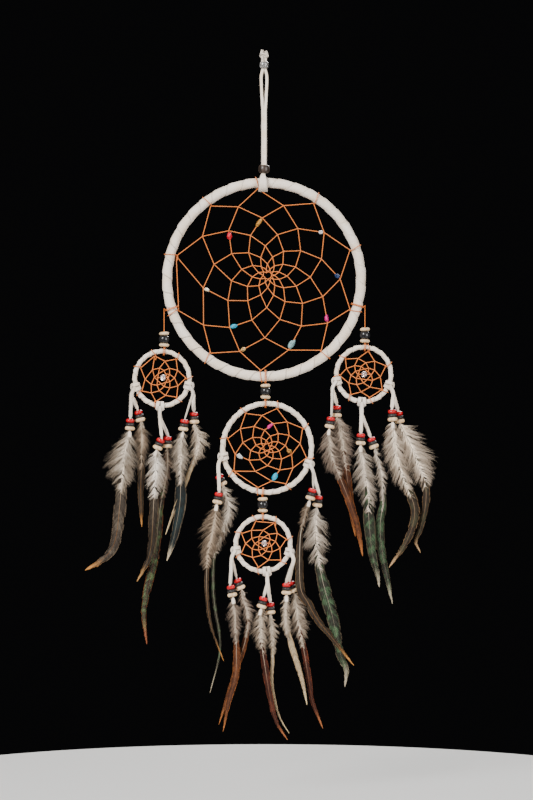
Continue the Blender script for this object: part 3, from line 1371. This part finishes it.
class DREAM_OT_links(bpy.types.Operator):
    """Threads the discs and the black balls between the hoops"""

    bl_idname = "dream.links"
    bl_label = "Links"

    def execute(self, context):
        s = context.scene.dream_thread
        thread = thread_tree()
        look = thread_look("Link thread", s.colour)
        pale = wood_look("Link wood", (0.78, 0.58, 0.36), (0.60, 0.40, 0.21), 0.0)
        black = lacquer_look("Black ball", (0.012, 0.012, 0.013), (0.03, 0.028, 0.027), 0.16, 0.32)
        for number, (name, parent) in enumerate(LINKED.items()):
            top_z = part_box(name + "_link")[1].z
            hoop = Hoop(name)
            above = Hoop(parent)
            swivel = next(j for j in frame["record"]["behaviour"]["joints"] if j["child"] == name)
            x = swivel["pos_m"][0]
            reach = hoop.tube + (s.link_diameter / 2 + 0.3 * MM)
            foot_turn = math.asin((hoop.centre.x - x) / hoop.ring)
            foot = hoop.on_ring(90 + math.degrees(foot_turn))
            bottom = foot.z + reach
            low_z = bottom + (s.link_diameter / 2 + (DISC_H / 2 + 0.05) * MM)
            ball_z = low_z + ((DISC_H + ROUND_H) / 2 + BEAD_GAP) * MM
            high_z = ball_z + ((DISC_H + ROUND_H) / 2 + BEAD_GAP) * MM
            meshes = [
                bead(NATURAL_D, DISC_H, 1.8, pale, Vector((x, 0, low_z)), 0.05, 0.03, number + 1, 0.5),
                bead(NATURAL_D, DISC_H, 1.8, pale, Vector((x, 0, high_z)), -0.04, 0.03, number + 8, 0.5),
                bead(ROUND_D, ROUND_H, 1.8, black, Vector((x, 0, ball_z)), 0.0, 0.008, number, 0.95),
            ]
            piece(name + "_link_beads", meshes, name + "_link", [name + "_link"])
            lines = self.doubled_thread(x, foot, hoop, reach, above, top_z, s.link_diameter)
            mesh = grow(name, lines, thread, {"Diameter": s.link_diameter * 0.8, "Turn Length": s.turn,
                                              "Step": s.link_diameter, "Material": look})
            piece(name + "_link_thread", [mesh], name + "_link", [name + "_link"])
        return {"FINISHED"}

    @staticmethod
    def doubled_thread(x, foot, hoop, reach, above, top_z, diameter):
        """Two strands side by side from a loop over one hoop to a loop over the other."""
        lines = Lines()
        top_reach = above.tube + diameter / 2 + 0.45 * MM
        out = Vector((x, 0, 0)) - Vector((above.centre.x, 0, 0))
        side_link = abs(out.x) > above.ring * 0.5
        if side_link:
            tied = top_z - top_reach * 0.9
            angle = math.degrees(math.asin((tied - above.centre.z) / above.ring))
            angle = angle if out.x > 0 else 180 - angle
            top = Vector((x, 0, above.on_ring(angle).z))
        else:
            angle = -90 + math.degrees(math.asin(out.x / above.ring))
            top = above.on_ring(angle) - top_reach * UP
        foot_angle = 90 + math.degrees(math.asin((hoop.centre.x - x) / hoop.ring))
        for shift in (-0.45, 0.45):
            lines.add([Vector((x, shift * diameter, foot.z + reach)), Vector((x, shift * diameter, top.z))])
            for ring, turn, span in ((above, angle, top_reach), (hoop, foot_angle, reach)):
                step = math.degrees(shift * diameter / ring.ring)
                lines.add([ring.round_tube(turn + step, p, span) for p in range(0, 360, 12)], closed=True)
        return lines


class DREAM_OT_beads(bpy.types.Operator):
    """Threads a red, a black and a bare wood bead on every strand"""

    bl_idname = "dream.beads"
    bl_label = "Tassel beads"

    def execute(self, context):
        red = lacquer_look("Red lacquer", (0.56, 0.012, 0.018), (0.42, 0.006, 0.010), 0.2, 0.28)
        black = lacquer_look("Black stain", (0.018, 0.017, 0.017), (0.045, 0.040, 0.036), 0.38, 0.1)
        bare = wood_look("Bare wood", (0.86, 0.64, 0.40), (0.66, 0.42, 0.22), 0.15)
        bore = LACE_D + 0.8
        for strand in strands():
            drop = (RED_H + BLACK_H) / 2 + BEAD_GAP
            places = (
                (red, RED_D, RED_H, strand.red, 0.55),
                (black, BLACK_D, BLACK_H, strand.red + drop * MM * strand.down, 0.6),
                (bare, NATURAL_D, NATURAL_H, strand.last, 0.7),
            )
            meshes = []
            for k, (look, wide, high, at, roundness) in enumerate(places):
                seed = strand.index * 3 + k
                random.seed(seed)
                tip = strand.lean + random.uniform(-0.05, 0.05)
                meshes.append(bead(wide, high * 1.02, bore, look, at, tip, 0.035, seed, roundness))
            strand.hang("beads", meshes, "tassel_beads", "beads")
        return {"FINISHED"}


class DREAM_OT_feathers(bpy.types.Operator):
    """Grows a feather on every strand"""

    bl_idname = "dream.feathers"
    bl_label = "Feathers"

    def execute(self, context):
        s = context.scene.dream_feather
        tree = feather_tree()
        looks = {name: feather_look(name, *facts) for name, facts in FEATHERS.items()}
        for strand in strands():
            colouring, fluff, share, blade, _ = strand.feather
            random.seed(900 + strand.index)
            route = strand.feather_route()
            lean = random.uniform(-24, 24)
            twist = random.uniform(-30, 30)
            facings = turned_facings(route, lambda t: lean + twist * t * t)
            run = run_length(route)
            mesh = grow(strand.name, Lines().add(route, facings), tree, {
                "Blade Half Width": blade * MM, "Fluff Half Width": fluff * MM, "Fluff Share": share,
                "Barbs": int(run * (1 - VANE_START * share) / s.barb_pitch),
                "Downs": int(min(1700, max(700, run * share / s.down_pitch))),
                "Barb Width": s.barb_width, "Down Width": s.down_width, "Shaft Radius": s.shaft_radius,
                "Seed": s.seed + 31 * strand.index, "Material": looks[colouring]})
            strand.hang("feather", [mesh], "feathers", "feathers")
        return {"FINISHED"}


OPERATORS = (
    DREAM_OT_stage, DREAM_OT_laces, DREAM_OT_hanger, DREAM_OT_wraps, DREAM_OT_ties, DREAM_OT_nets,
    DREAM_OT_stones, DREAM_OT_crystals, DREAM_OT_links, DREAM_OT_beads, DREAM_OT_feathers,
)
SETTINGS = {
    "dream_suede": DreamSuedeSettings, "dream_thread": DreamThreadSettings,
    "dream_feather": DreamFeatherSettings, "dream_stage": DreamStageSettings,
}


class DREAM_PT_panel(bpy.types.Panel):
    """Lists the sizes, the colours and the steps that make the dream catcher"""

    bl_idname = "DREAM_PT_panel"
    bl_label = "Dream Catcher"
    bl_space_type = "VIEW_3D"
    bl_region_type = "UI"
    bl_category = "Dream Catcher"

    def draw(self, context):
        for name, group in SETTINGS.items():
            box = self.layout.box()
            for prop in group.__annotations__:
                box.prop(getattr(context.scene, name), prop)
        for operator in OPERATORS:
            self.layout.operator(operator.bl_idname)


def register():
    for group in SETTINGS.values():
        bpy.utils.register_class(group)
    for name, group in SETTINGS.items():
        setattr(bpy.types.Scene, name, PointerProperty(type=group))
    for cls in (*OPERATORS, DREAM_PT_panel):
        bpy.utils.register_class(cls)


def unregister():
    for cls in (DREAM_PT_panel, *reversed(OPERATORS)):
        bpy.utils.unregister_class(cls)
    for name in SETTINGS:
        delattr(bpy.types.Scene, name)
    for group in reversed(list(SETTINGS.values())):
        bpy.utils.unregister_class(group)


def main():
    register()
    for operator in OPERATORS:
        group, name = operator.bl_idname.split(".")
        getattr(getattr(bpy.ops, group), name)()


if __name__ == "__main__":
    main()
